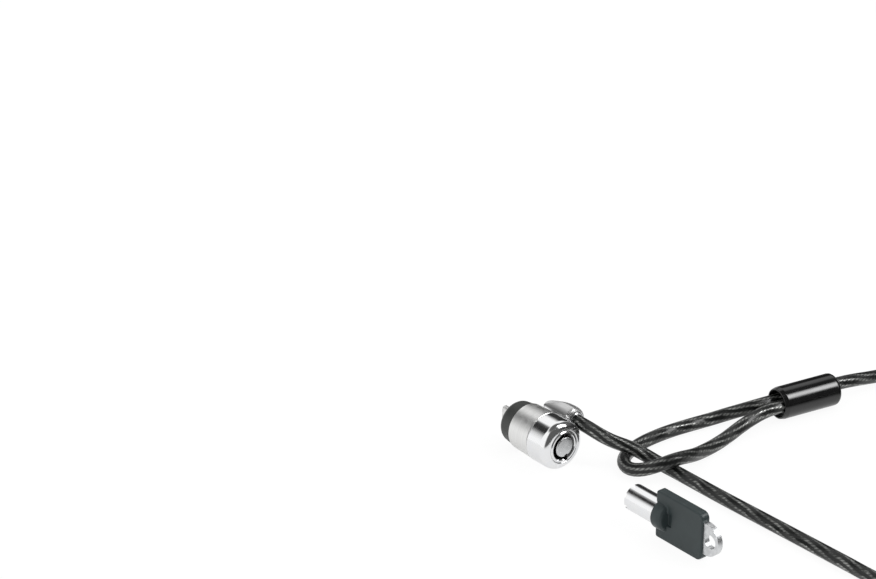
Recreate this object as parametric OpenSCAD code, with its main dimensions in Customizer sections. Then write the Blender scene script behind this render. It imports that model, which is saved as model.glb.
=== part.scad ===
/* [Barrel] */
// Diameter of the barrel's polished rear part
barrel_d = 18.2; // [17:0.1:20]
// Length of the polished rear part
rear_len = 9.5; // [9:0.5:16]
// Radius of the round on the barrel's rear edge
rear_round = 2.8; // [0.4:0.1:3]
// Length of the satin grip collar
collar_len = 10.5; // [10:0.5:14]
// Diameter of the collar's rear end
collar_rear_d = 18; // [17:0.1:18.2]
// Diameter of the collar's front end
collar_front_d = 17.2; // [16.4:0.1:18]
// Wall of the housing's tube under the collar
spigot_wall = 0.9; // [0.6:0.1:0.9]

/* [Nose] */
// Length of the rubber nose
nose_len = 6.5; // [5:0.5:8]
// Diameter of the nose where it meets the collar
nose_rear_d = 16.6; // [16:0.1:17]
// Diameter of the nose's flat front
nose_front_d = 10.8; // [9:0.1:12]
// Rubber in front of the metal nose core
nose_front_wall = 1.5; // [1:0.1:2.5]
// Side wall of the rubber nose at its mouth
nose_side_wall = 2.1; // [1.6:0.1:2.4]
// Thickness of the metal front plate
plate_t = 2.4; // [1.5:0.1:2.5]
// Metal left round the front plate
plate_rim = 0.9; // [0.6:0.1:1.4]

/* [T-bar and locating pins] */
// Diameter of the T-bar's round shank
shank_d = 2.4; // [2:0.1:2.6]
// Length of the T-bar's head, end to end
tbar_len = 6.6; // [6:0.1:7]
// Width of the T-bar's head
tbar_w = 2.6; // [2.4:0.1:3]
// Thickness of the T-bar's head
tbar_t = 2.4; // [1.8:0.1:3]
// How far the T-bar stands out of the nose
tbar_reach = 5.4; // [5:0.1:7]
// Diameter of each locating pin
locating_d = 1.9; // [1.5:0.1:2.1]
// How far the locating pins stand out of the nose
locating_reach = 2.2; // [1.5:0.1:2.4]

/* [Keyway] */
// Diameter of the keyway's mouth
keyway_d = 9.7; // [9.6:0.05:9.8]
// Diameter of the centre post
post_d = 7.5; // [7.3:0.05:7.6]
// How far the centre post stands out of the barrel's rear face
post_proud = 0.5; // [0:0.1:0.6]
// Depth of the keyway's lip
keyway_depth = 6.1; // [5:0.1:6.8]
// Width of the keyway's notch
notch_w = 1.4; // [1.3:0.1:1.8]
// Depth of the notch outside and inside the keyway ring
notch_depth = 0.65; // [0.6:0.05:0.7]
// Angle of the notch, from the right, seen from behind
notch_angle = -80; // [-100:5:-60]

/* [Lock cylinder] */
// Diameter of the rotor and of the driver block
rotor_d = 10.6; // [10.4:0.1:10.8]
// Wall of the lock sleeve
sleeve_wall = 0.65; // [0.5:0.05:0.7]
// Length of the rotor
rotor_len = 5; // [4.5:0.5:5.5]
// Length of the driver block
block_len = 7.8; // [7.5:0.1:8.5]
// Number of pin stacks
pin_count = 7; // [5:1:7]
// Diameter of the circle that the pin stacks stand on
pin_circle_d = 8.4; // [8.2:0.05:8.5]
// Diameter of each pin
pin_d = 1.5; // [1.2:0.05:1.5]
// Depth of the ring that the key's end enters in the rotor
rotor_ring_depth = 2.9; // [2.6:0.1:3.5]
// Length of each driver pin
driver_len = 2.6; // [2:0.1:3]
// Wire of each pin spring
spring_wire = 0.26; // [0.18:0.02:0.3]
// Turns of each pin spring
spring_turns = 3; // [2:1:4]
// Diameter of the spindle's shaft
shaft_d = 3.8; // [3.6:0.1:4.2]
// Diameter of the pin that locks the cylinder in the housing
block_pin_d = 1.3; // [1:0.1:1.4]

/* [Cable lug] */
// Distance from the barrel's axis to the lug's axis
lug_offset = 12.2; // [12.2:0.05:12.8]
// Angle of the lug above the horizontal
lug_angle = 17; // [10:1:45]
// Largest diameter of the lug
lug_d = 8.8; // [8.4:0.1:9.6]
// Diameter of the lug's rear face
lug_mouth_d = 7.4; // [7.2:0.1:8.2]
// Diameter of the lug where its front dome starts
lug_front_d = 5.6; // [5:0.1:6.4]
// Length of the lug
lug_len = 16.4; // [16:0.1:16.6]
// Distance from the barrel's rear face to the lug's rear face
lug_set = 7; // [6.6:0.1:7.1]
// Width of the web between lug and barrel
web_w = 7.6; // [4:0.2:8]
// Diameter of the end ferrule that turns in the lug
ferrule_d = 6.1; // [5.8:0.1:6.2]
// Length of the end ferrule
ferrule_len = 5.6; // [4:0.2:5.6]
// Length of the swivel bush inside the lug
bush_len = 2.2; // [1.5:0.1:3]

/* [Cable] */
// Diameter of the coated cable
cable_d = 4.8; // [4:0.1:4.8]
// Turns of the stored coil
coil_turns = 6.25; // [4.25:1:7.25]
// Diameter at the middle of the coil's turns
coil_mean_d = 57.6; // [52:0.2:62]
// Gap between neighbouring turns
coil_gap = 0.6; // [0.5:0.1:1.2]
// Width of the tie round the coil
tie_w = 9; // [5:1:12]
// Thickness of the tie
tie_t = 0.8; // [0.5:0.1:1]

/* [Loop sleeve] */
// Diameter of the loop sleeve
loop_sleeve_d = 12; // [11.8:0.1:14]
// Length of the loop sleeve
loop_sleeve_len = 25; // [22:0.5:30]
// Diameter of the sleeve's two ends
loop_sleeve_end_d = 11.2; // [11:0.1:11.6]
// Length of the taper at the mouth and of the round at the back
loop_sleeve_taper = 1.6; // [1:0.1:2.5]
// Wall of the loop sleeve
loop_sleeve_wall = 0.5; // [0.3:0.05:0.6]
// Length of the crimp ferrule inside
crimp_len = 18; // [12:0.5:19]

/* [Key] */
// Outside diameter of the key's tube
key_tube_d = 9.5; // [9.4:0.05:9.6]
// Wall of the key's tube
key_tube_wall = 0.9; // [0.8:0.05:0.95]
// Bare length of the tube in front of the grip
key_tube_len = 13.4; // [9:0.1:16]
// Length of the tube held inside the grip
key_tube_held = 3.4; // [3:0.2:6]
// Diameter of the grip's collar round the tube
grip_collar_d = 10.8; // [10.6:0.1:12]
// How far the plate stands in front of the collar
grip_lead = 1; // [0.2:0.1:1.6]
// Length of the grip's plate
grip_len = 22.1; // [19:0.1:26]
// Height of the grip's plate
grip_h = 17.6; // [15:0.1:19]
// Thickness of the grip's plate
grip_t = 3.6; // [3.2:0.1:5]
// Radius of the plate's rear corners
grip_round = 2.4; // [1:0.1:3.5]
// Radius of the plate's front corners
grip_front_round = 0.9; // [0.4:0.1:2]
// Depth of the pocket behind the collar on each side of the plate
grip_pocket = 0.5; // [0.2:0.05:0.5]
// Thickness of the steel bow
bow_t = 2; // [1.5:0.1:2.4]
// How far the bow stands out of the plate
bow_reach = 7.1; // [7:0.1:9]
// Height of the bow
bow_h = 11.7; // [10:0.1:13]
// Diameter of the key ring's hole
ring_hole_d = 5; // [4:0.1:5]

/* [Hidden] */
$fn = 64;

// Radial clearance of a fit, and end play between pieces that meet end to end
fit = 0.05;
play = 0.1;

// Places along the barrel's axis, which is Y: 0 is the nose's front face, and the key comes from -Y
nose_y = -nose_len;
collar_y = nose_y - collar_len;
rear_y = collar_y - rear_len;
lip_end_y = rear_y + keyway_depth;
rotor_y = lip_end_y + play;
shear_y = rotor_y + rotor_len;
block_y = shear_y + play;
block_end_y = block_y + block_len;
bulkhead_y = block_end_y + play;
core_y = -nose_front_wall;
plate_y = core_y - plate_t;
floor_z = -barrel_d / 2;

// Lock cylinder
sleeve_bore_d = rotor_d + 2 * fit;
sleeve_d = sleeve_bore_d + 2 * sleeve_wall;
housing_bore_d = sleeve_d + 2 * fit;
spigot_d = housing_bore_d + 2 * spigot_wall;
rear_r = min(rear_round, (barrel_d - housing_bore_d) / 2 - 0.2);
core_d = nose_rear_d - 2 * nose_side_wall;
plate_d = core_d - 2 * plate_rim - 2 * fit;
sleeve_proud = 0.15;
chamber_d = pin_d + 2 * fit;
chamber_floor = 1.1;
spring_y = block_y + driver_len + play;
spring_end_y = block_end_y - chamber_floor - play;
spring_d = pin_d - 0.15;
hub_d = shaft_d + 1;
hub_flat = shaft_d + 0.2;
socket_depth = 4;
post_groove = 0.9;

// Distance that each key pin is pushed in by the right key, first pin next to the notch
pin_travel = [2.2, 1.0, 1.6, 0.6, 1.9, 1.3, 0.8];
full_travel = max(pin_travel);

// Stop lug on the spindle, which works in a pocket of the housing's bulkhead
stop_angle = 45;
stop_half = 8;
stop_play = 1;
stop_r = shaft_d / 2 + 1.4;
turn_angle = 90;

// T-bar and locating pins
locating_x = (shank_d + locating_d) / 2 + 0.15;
nose_slot_len = 2 * locating_x + locating_d + 0.6;
nose_slot_w = max(shank_d, locating_d) + 0.6;

// Cable lug
lug_x = lug_offset * cos(lug_angle);
lug_z = lug_offset * sin(lug_angle);
lug_y = rear_y + lug_set;
lug_dome_y = lug_y + lug_len - 3.8;
lug_waist_y = lug_y + 5.5;
lug_gap = 0.15;
bush_proud = 0.45;
bush_y = lug_y - bush_proud;
bush_d = ferrule_d + fit;
bush_end_y = lug_y + bush_len;
ferrule_y = bush_end_y + 2 * play;
ferrule_end_y = ferrule_y + ferrule_len;
lug_bore_d = ferrule_d + 2 * fit;

// Cable
cable_r = cable_d / 2;
cable_sides = 10;
coil_sides = 6;
rings_per_turn = 24;
coil_layers = 2;
coil_pitch = cable_d + coil_gap;
turns_per_layer = coil_turns / coil_layers;
coil_out_r = (coil_mean_d + coil_pitch * turns_per_layer) / 2;
coil_in_r = coil_out_r - coil_pitch * turns_per_layer;
coil_x = 109;
coil_y = -143.9;
coil_z = floor_z + tie_t + cable_r;

// Loop sleeve, on an axis turned a little from X
loop_sleeve_x = 84.8;
loop_sleeve_y = -45.8;
loop_sleeve_yaw = -10;
loop_sleeve_z = floor_z + loop_sleeve_d / 2;
strand_offset = cable_r + fit;
crimp_x = 3.5;
join_x = crimp_x + crimp_len / 2;
tail_x = crimp_x + crimp_len - 2;

// Key
key_x = -4.3;
key_tip_y = -67.5;
key_z = floor_z + grip_h / 2;
grip_front_y = key_tip_y - key_tube_len;
plate_front_y = grip_front_y + grip_lead;
plate_end_y = plate_front_y - grip_len;
tube_end_y = grip_front_y - key_tube_held;
tube_bore_d = key_tube_d - 2 * key_tube_wall;
nib_gap = 0.2;
nib_set = 0.3;
tang_h = tube_bore_d - 0.7;
bow_y = plate_end_y - fit;
bow_end_y = plate_end_y - bow_reach;
ring_hole_y = bow_end_y + 1.4 + ring_hole_d / 2;
nib_in_r = post_d / 2 - post_groove + nib_gap;
nib_out_r = keyway_d / 2 + notch_depth - nib_gap;

// Route points: x, y and the height of the cable's middle above the floor
lead_route = [
    [12, -29.4, 12.1], [13.8, -32.4, 10.6], [16.3, -35.1, 8.9], [19, -37.7, 7.9], [21.7, -40.4, 6.3],
    [24, -43.4, 4.4], [25.7, -46.9, 2.9], [26.4, -51.4, 2.4], [26.5, -58.9, 2.4], [26.5, -68.9, 2.4],
    [26.6, -80.9, 2.4], [26.9, -93.9, 2.4], [27.2, -106.9, 2.4], [27.5, -120.9, 2.4], [27.8, -134.9, 2.4],
    [28, -148.9, 2.4], [29, -157.2, 2.4], [32.3, -164.9, 2.4], [37.4, -171.5, 2.5], [44, -176.6, 2.7],
    [51.7, -179.9, 2.9], [60, -181.1, 3.1], [71, -181.1, 3.2], [84, -181.1, 3.2]
];
return_route = [
    [146.6, -128.9, 7.6], [148.5, -116.9, 5.8], [151.8, -104.9, 3.6], [155, -93.9, 2.6], [157.2, -83.9, 2.4],
    [158, -74.9, 2.4], [157.2, -68.4, 2.4], [154.8, -62.5, 2.4], [151, -57.5, 2.4], [146, -53.7, 2.5],
    [140, -51.3, 2.8], [133.5, -50.3, 3.5], [127, -49.9, 4.5], [121, -49.5, 5.5]
];
loop_route = [
    [75, -40.2, 5], [69, -37.1, 3.6], [62, -34.7, 2.6], [53, -32.9, 2.4], [44, -31.9, 2.4],
    [35, -31.9, 2.4], [28, -32.9, 2.4], [21.1, -35.3, 2.4], [16.6, -39, 2.4], [14.8, -43.9, 2.7],
    [15.8, -48.8, 4], [19.6, -53, 6.2], [25.6, -55.4, 7.7], [31.7, -54.8, 6.4], [37.5, -52.8, 4.3],
    [44, -50.8, 2.8], [51, -49.6, 2.4], [58, -48.3, 2.6], [65, -47.1, 3.5], [71.5, -46.9, 4.8]
];

// A solid turned about Y, from a profile of radius and y
module turned() {
    rotate([-90, 0, 0])
        rotate_extrude()
            children();
}

// A round rod along Y
module rod(d, from, to) {
    translate([0, from, 0])
        rotate([-90, 0, 0])
            cylinder(d = d, h = to - from);
}

// Turns what points right to an angle above the right, seen from behind
module at_angle(angle) {
    rotate([0, -angle, 0])
        children();
}

module sector(r, from, to, from_angle, to_angle) {
    at_angle(to_angle)
        rotate([-90, 0, 0])
            rotate_extrude(angle = to_angle - from_angle)
                translate([0, from])
                    square([r, to - from]);
}

module on_lug() {
    translate([lug_x, 0, lug_z])
        children();
}

module at_key() {
    translate([key_x, 0, key_z])
        children();
}

// Local X runs from the loop sleeve's mouth to its back
module at_loop_sleeve() {
    translate([loop_sleeve_x, loop_sleeve_y, loop_sleeve_z])
        rotate([0, 0, loop_sleeve_yaw])
            children();
}

module along_x() {
    rotate([0, 90, 0])
        children();
}

// A plate drawn in Y and Z, centred on X
module plate_yz(t) {
    translate([-t / 2, 0, 0])
        rotate([90, 0, 90])
            linear_extrude(t)
                children();
}

function arc(x, y, r_x, r_y, from, to, steps) =
    [for (i = [0 : steps]) let (a = from + (to - from) * i / steps) [x + r_x * cos(a), y + r_y * sin(a)]];

function pin_angle(i) = notch_angle + 360 * (i - 0.5) / pin_count;

// Body of the lug and its web, grown on all sides for the collar's cut-out
module lug_body(grow) {
    mouth_r = lug_mouth_d / 2 + grow;
    side_r = lug_d / 2 + grow;
    front_r = lug_front_d / 2 + grow;
    round_len = 2.2;
    profile = concat(
        [[0, lug_y - grow], [mouth_r, lug_y - grow]],
        arc(mouth_r, lug_y - grow + round_len, side_r - mouth_r, round_len, -60, 0, 3),
        [[side_r, lug_waist_y]],
        arc(0, lug_dome_y, front_r, lug_y + lug_len + grow - lug_dome_y, 0, 90, 5)
    );
    web_y = lug_y + 1.5 - grow;
    web_front_y = min(lug_dome_y + 1, nose_y - 1.2) + grow;
    on_lug()
        turned()
            polygon(profile);
    at_angle(lug_angle)
        translate([0, 0, -web_w / 2 - grow])
            linear_extrude(web_w + 2 * grow)
                polygon([
                    [0, web_y], [lug_offset, web_y], [lug_offset, lug_waist_y],
                    [barrel_d / 2, web_front_y], [0, web_front_y]
                ]);
}

module block_pin_shape(d, from_r, to_r) {
    at_angle(notch_angle)
        translate([from_r, (block_y + block_end_y) / 2, 0])
            along_x()
                cylinder(d = d, h = to_r - from_r);
}

module head_housing() {
    barrel_profile = concat(
        [[0, rear_y]],
        arc(barrel_d / 2 - rear_r, rear_y + rear_r, rear_r, rear_r, -90, 0, 8),
        [[barrel_d / 2, collar_y], [spigot_d / 2, collar_y], [spigot_d / 2, nose_y]],
        [[core_d / 2, nose_y], [core_d / 2, core_y], [0, core_y]]
    );
    color("silver")
        difference() {
            union() {
                turned()
                    polygon(barrel_profile);
                lug_body(0);
            }
            rod(housing_bore_d, rear_y - 1, bulkhead_y);
            rod(shaft_d + 4 * fit, bulkhead_y - 1, core_y + 1);
            sector(
                stop_r + play, bulkhead_y - 1, plate_y + play,
                stop_angle - turn_angle - stop_half - stop_play, stop_angle + stop_half + stop_play
            );
            rod(plate_d + 2 * fit, plate_y, core_y + 1);
            on_lug()
                rod(lug_bore_d, lug_y - 1, ferrule_end_y + 2 * play);
            block_pin_shape(block_pin_d + 2 * fit, sleeve_d / 2, barrel_d);
        }
}

// Ring pressed into the lug's mouth, which holds the ferrule in
module ear_bush() {
    chamfer = 0.2;
    color("gainsboro")
        on_lug()
            difference() {
                turned()
                    polygon([
                        [0, bush_y], [bush_d / 2 - chamfer, bush_y], [bush_d / 2, bush_y + chamfer],
                        [bush_d / 2, bush_end_y], [0, bush_end_y]
                    ]);
                rod(cable_d + 2 * fit, bush_y - 1, bush_end_y + 1);
            }
}

module grip_collar() {
    edge = 0.25;
    collar_profile = [
        [collar_rear_d / 2 - edge, collar_y + play], [collar_rear_d / 2, collar_y + play + edge],
        [collar_front_d / 2, nose_y - edge], [collar_front_d / 2 - edge, nose_y],
        [spigot_d / 2 + fit, nose_y], [spigot_d / 2 + fit, collar_y + play]
    ];
    color("gray")
        difference() {
            turned()
                polygon(collar_profile);
            lug_body(lug_gap);
        }
}

module nose_bumper() {
    shoulder_y = -2.6;
    shoulder_r = nose_rear_d / 2 - 0.5;
    outer = concat(
        [[core_d / 2 + fit, nose_y + play], [nose_rear_d / 2, nose_y + play]],
        arc(nose_front_d / 2, shoulder_y, shoulder_r - nose_front_d / 2, -shoulder_y, 0, 90, 6),
        [[0, 0], [0, core_y + fit], [core_d / 2 + fit, core_y + fit]]
    );
    color("dimgray")
        difference() {
            turned()
                polygon(outer);
            rotate([-90, 0, 0])
                translate([0, 0, core_y - 1])
                    linear_extrude(nose_front_wall + 2)
                        slot_shape(nose_slot_w, nose_slot_len);
        }
}

// Round-ended slot: w wide along the first axis and l long along the second
module slot_shape(w, l) {
    square([w, l - w], center = true);
    for (end = [-1, 1])
        translate([0, end * (l - w) / 2])
            circle(d = w);
}

module front_plate() {
    color("lightsteelblue")
        difference() {
            rod(plate_d, plate_y, core_y);
            rod(shank_d + 2 * fit, plate_y - 1, core_y + 1);
            for (side = [-1, 1])
                translate([0, 0, side * locating_x])
                    rod(locating_d + fit, plate_y - 1, core_y + 1);
        }
}

module locating_pins() {
    tip = 0.3;
    color("slategray")
        for (side = [-1, 1])
            translate([0, 0, side * locating_x]) {
                rod(locating_d, plate_y, locating_reach - tip);
                turned()
                    polygon([
                        [0, locating_reach - tip], [locating_d / 2, locating_reach - tip],
                        [locating_d / 2 - tip, locating_reach], [0, locating_reach]
                    ]);
            }
}

module lock_sleeve() {
    chamfer = 0.3;
    outer = [
        [0, rear_y - sleeve_proud], [sleeve_d / 2 - chamfer, rear_y - sleeve_proud],
        [sleeve_d / 2, rear_y - sleeve_proud + chamfer], [sleeve_d / 2, block_end_y], [0, block_end_y]
    ];
    mouth = [
        [0, rear_y - 1], [keyway_d / 2 + 1, rear_y - 1],
        [keyway_d / 2, rear_y - sleeve_proud + chamfer], [0, rear_y - sleeve_proud + chamfer]
    ];
    color("silver")
        difference() {
            turned()
                polygon(outer);
            turned()
                polygon(mouth);
            rod(keyway_d, rear_y - 1, lip_end_y + 1);
            rod(sleeve_bore_d, lip_end_y, block_end_y + 1);
            at_angle(notch_angle)
                translate([0, rear_y - 1, -notch_w / 2])
                    cube([keyway_d / 2 + notch_depth, keyway_depth + 1.5, notch_w]);
            block_pin_shape(block_pin_d + 2 * fit, keyway_d / 2, barrel_d);
        }
}

module pin_chambers(d, from, to) {
    for (i = [1 : pin_count])
        at_angle(pin_angle(i))
            translate([pin_circle_d / 2, 0, 0])
                rod(d, from, to);
}

module driver_block() {
    color("darkkhaki")
        difference() {
            rod(rotor_d, block_y, block_end_y);
            rod(shaft_d + 2 * fit, block_y - 1, block_end_y + 1);
            pin_chambers(chamber_d, block_y - 1, block_end_y - chamber_floor);
            block_pin_shape(block_pin_d + 2 * fit, shaft_d / 2 + 1, barrel_d);
        }
}

module block_pin() {
    color("slategray")
        block_pin_shape(block_pin_d, shaft_d / 2 + 1 + fit, spigot_d / 2);
}

module driver_pins() {
    color("goldenrod")
        pin_chambers(pin_d, block_y, block_y + driver_len);
}

module pin_springs() {
    rings = 6;
    reach = spring_end_y - spring_y - spring_wire;
    coil_r = (spring_d - spring_wire) / 2;
    wire = [for (k = [0 : rings * spring_turns]) let (a = 360 * k / rings)
        [coil_r * cos(a), spring_y + spring_wire / 2 + reach * k / rings / spring_turns, coil_r * sin(a)]];
    color("lightgray")
        for (i = [1 : pin_count])
            at_angle(pin_angle(i))
                translate([pin_circle_d / 2, 0, 0])
                    tube(wire, spring_wire / 2, 4, [0, 1, 0]);
}

module spindle() {
    edge = 0.6;
    post_y = rear_y - post_proud;
    post = concat(
        [[0, post_y]],
        arc(post_d / 2 - edge, post_y + edge, edge, edge, -90, 0, 4),
        [[post_d / 2, rotor_y - fit], [0, rotor_y - fit]]
    );
    color("silver")
        difference() {
            union() {
                turned()
                    polygon(post);
                intersection() {
                    rod(hub_d, rotor_y - 1, shear_y);
                    translate([-hub_flat / 2, rotor_y - 1, -hub_d])
                        cube([hub_flat, rotor_len + 1, 2 * hub_d]);
                }
                rod(shaft_d, shear_y - 1, plate_y - play);
                sector(
                    stop_r, block_end_y + 2 * play, plate_y - play,
                    stop_angle - stop_half, stop_angle + stop_half
                );
            }
            at_angle(notch_angle)
                translate([post_d / 2 - post_groove, rear_y - 1, -notch_w / 2])
                    cube([post_groove + 1, rotor_y - rear_y + 0.9, notch_w]);
            rod(shank_d + 2 * fit, plate_y - socket_depth, plate_y + 1);
        }
}

module rotor() {
    color("darkkhaki")
        difference() {
            rod(rotor_d, rotor_y, shear_y);
            difference() {
                rod(keyway_d, rotor_y - 1, rotor_y + rotor_ring_depth);
                rod(post_d, rotor_y - 2, rotor_y + rotor_ring_depth + 1);
            }
            intersection() {
                rod(hub_d + 2 * fit, rotor_y - 1, shear_y + 1);
                translate([-hub_flat / 2 - fit, rotor_y - 1, -hub_d])
                    cube([hub_flat + 2 * fit, rotor_len + 2, 2 * hub_d]);
            }
            pin_chambers(chamber_d, rotor_y - 1, shear_y + 1);
            at_angle(notch_angle)
                translate([post_d / 2, rotor_y - 1, -notch_w / 2])
                    cube([rotor_d, rotor_ring_depth + 1, notch_w]);
        }
}

module t_bar() {
    head_y = tbar_reach - tbar_t;
    color("lightslategray") {
        rod(shank_d, plate_y - socket_depth + play, head_y + 0.5);
        rotate([-90, 0, 0])
            translate([0, 0, head_y])
                linear_extrude(tbar_t)
                    slot_shape(tbar_w, tbar_len);
    }
}

module key_pin(i) {
    tip = 0.25;
    end_y = shear_y - pin_travel[i - 1];
    color("gold")
        at_angle(pin_angle(i))
            translate([pin_circle_d / 2, 0, 0])
                turned()
                    polygon([
                        [0, rotor_y], [pin_d / 2 - tip, rotor_y], [pin_d / 2, rotor_y + tip],
                        [pin_d / 2, end_y], [0, end_y]
                    ]);
}

// Sweeps a tube along points, with one side of each ring turned to the up direction
module tube(path, r, sides, up) {
    last = len(path) - 1;
    turn = sides % 4 == 0 ? 180 / sides : 0;
    points = [for (i = [0 : last])
        let (
            ahead = path[min(i + 1, last)] - path[max(i - 1, 0)],
            along = ahead / norm(ahead),
            flat = up - along * (up * along),
            high = flat / norm(flat),
            side = cross(along, high)
        )
        for (k = [0 : sides - 1])
            let (a = turn + 360 * k / sides)
            path[i] + r * (cos(a) * side + sin(a) * high)];
    walls = [for (i = [0 : last - 1], k = [0 : sides - 1])
        let (
            a = i * sides + k,
            b = i * sides + (k + 1) % sides
        )
        each [[a, b, b + sides], [a, b + sides, a + sides]]];
    caps = [for (k = [1 : sides - 2])
        each [[0, k + 1, k], [last * sides, last * sides + k, last * sides + k + 1]]];
    polyhedron(points = points, faces = concat(walls, caps), convexity = 10);
}

function on_floor(route) = [for (p = route) [p.x, p.y, floor_z + p.z]];

// A point in the loop sleeve's own directions
function sleeve_point(x, y) = [
    loop_sleeve_x + x * cos(loop_sleeve_yaw) - y * sin(loop_sleeve_yaw),
    loop_sleeve_y + x * sin(loop_sleeve_yaw) + y * cos(loop_sleeve_yaw),
    loop_sleeve_z
];

module cable_ferrule() {
    chamfer = 0.5;
    color("gainsboro")
        on_lug()
            turned()
                polygon([
                    [0, ferrule_y], [ferrule_d / 2, ferrule_y], [ferrule_d / 2, ferrule_end_y - chamfer],
                    [ferrule_d / 2 - chamfer, ferrule_end_y], [0, ferrule_end_y]
                ]);
}

module cable_lead() {
    straight = [for (y = [ferrule_y, lug_y - 1, lug_y - 4, rear_y - 1]) [lug_x, y, lug_z]];
    ends = [for (x = [-2.5 * cable_d, -cable_d]) [coil_x + x, coil_y - coil_out_r, coil_z]];
    color("darkslategray")
        tube(concat(straight, on_floor(lead_route), ends), cable_r, cable_sides, [0, 0, 1]);
}

// Share of the climb from one layer to the next, from 0 to 1 over the half turn about a reversal
function climb(turn) = let (t = min(max(2 * turn + 0.5, 0), 1)) t * t * (3 - 2 * t);

function coil_point(turn) = let (
    layer = min(floor(turn / turns_per_layer), coil_layers - 1),
    run = turn - layer * turns_per_layer,
    r = layer % 2 == 0 ? coil_out_r - coil_pitch * run : coil_in_r + coil_pitch * run,
    rise = climb(turn - turns_per_layer),
    a = 360 * turn - 90
) [coil_x + r * cos(a), coil_y + r * sin(a), coil_z + coil_pitch * rise];

// The turns, with one cable diameter straight at each end
coil_path = concat(
    [coil_point(0) - [cable_d, 0, 0]],
    [for (k = [0 : coil_turns * rings_per_turn]) coil_point(k / rings_per_turn)],
    [coil_point(coil_turns) + [0, cable_d, 0]]
);

// Least gap between turns, measured on the path's points
coil_self_gap = min([for (i = [0 : len(coil_path) - 1], j = [i + rings_per_turn / 2 : len(coil_path) - 1])
    norm(coil_path[i] - coil_path[j])]) - cable_d;

module cable_coil() {
    color("darkslategray")
        tube(coil_path, cable_r, coil_sides, [0, 0, 1]);
}

module cable_return() {
    start = [for (y = [1, 2.2]) coil_point(coil_turns) + [0, y * cable_d, 0]];
    into_sleeve = [for (x = [loop_sleeve_len + 1.2 * cable_d, loop_sleeve_len, join_x])
        sleeve_point(x, strand_offset)];
    color("darkslategray")
        tube(concat(start, on_floor(return_route), into_sleeve), cable_r, cable_sides, [0, 0, 1]);
}

module cable_loop() {
    from_sleeve = [for (x = [join_x, 0, -1.1 * cable_d]) sleeve_point(x, strand_offset)];
    into_sleeve = [for (x = [-1.1 * cable_d, 0, tail_x]) sleeve_point(x, -strand_offset)];
    color("darkslategray")
        tube(concat(from_sleeve, on_floor(loop_route), into_sleeve), cable_r, cable_sides, [0, 0, 1]);
}

module loop_sleeve() {
    end_wall = 1.6;
    bore_d = loop_sleeve_d - 2 * loop_sleeve_wall;
    outer = concat(
        [[0, 0], [loop_sleeve_end_d / 2, 0], [loop_sleeve_d / 2, loop_sleeve_taper]],
        arc(
            loop_sleeve_d / 2 - loop_sleeve_taper, loop_sleeve_len - loop_sleeve_taper,
            loop_sleeve_taper, loop_sleeve_taper, 0, 90, 4
        ),
        [[0, loop_sleeve_len]]
    );
    color("black")
        at_loop_sleeve()
            difference() {
                along_x()
                    rotate_extrude()
                        polygon(outer);
                translate([-1, 0, 0])
                    along_x()
                        cylinder(d = loop_sleeve_end_d - 0.5, h = 3);
                translate([1, 0, 0])
                    along_x()
                        cylinder(d = bore_d, h = loop_sleeve_len - end_wall - 1);
                translate([1, strand_offset, 0])
                    along_x()
                        cylinder(d = cable_d + 2 * fit, h = loop_sleeve_len);
            }
}

module crimp_ferrule() {
    color("silver")
        at_loop_sleeve()
            difference() {
                translate([crimp_x, 0, 0])
                    along_x()
                        cylinder(d = loop_sleeve_d - 2 * loop_sleeve_wall - 2 * fit, h = crimp_len);
                for (side = [-1, 1])
                    translate([crimp_x - 1, side * strand_offset, 0])
                        along_x()
                            cylinder(d = cable_d + fit, h = crimp_len + 2);
            }
}

// Strap round the bundle, on the side of the coil that faces the lock
module coil_tie() {
    slack = 0.4;
    in_r = min([for (p = coil_path) if (abs(p.x - coil_x) < tie_w && p.y > coil_y) p.y - coil_y]);
    out_r = max([for (p = coil_path) if (abs(p.x - coil_x) < tie_w && p.y > coil_y) p.y - coil_y]);
    size_y = out_r - in_r + cable_d + 2 * slack;
    size_z = 2 * cable_d + coil_gap + slack;
    color("dimgray")
        translate([coil_x - tie_w / 2, coil_y + in_r - cable_r - slack, floor_z + tie_t])
            rotate([90, 0, 90])
                linear_extrude(tie_w)
                    difference() {
                        translate([-tie_t, -tie_t])
                            square([size_y + 2 * tie_t, size_z + 2 * tie_t]);
                        square([size_y, size_z]);
                    }
}

module key_tube() {
    nib_y = key_tip_y - full_travel + play;
    seam_angle = pin_angle(2.5);
    color("silver")
        at_key() {
            difference() {
                at_angle(seam_angle)
                    rod(key_tube_d, tube_end_y, key_tip_y);
                at_angle(seam_angle)
                    rod(tube_bore_d, tube_end_y - 1, key_tip_y + 1);
                for (i = [1 : pin_count])
                    at_angle(pin_angle(i))
                        translate([pin_circle_d / 2, 0, 0])
                            rod(chamber_d, key_tip_y - full_travel + pin_travel[i - 1] - play, key_tip_y + 1);
            }
            at_angle(notch_angle)
                translate([nib_in_r, nib_y, -notch_w / 2 + play])
                    cube([nib_out_r - nib_in_r, key_tip_y - nib_set - nib_y, notch_w - 2 * play]);
        }
}

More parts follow.
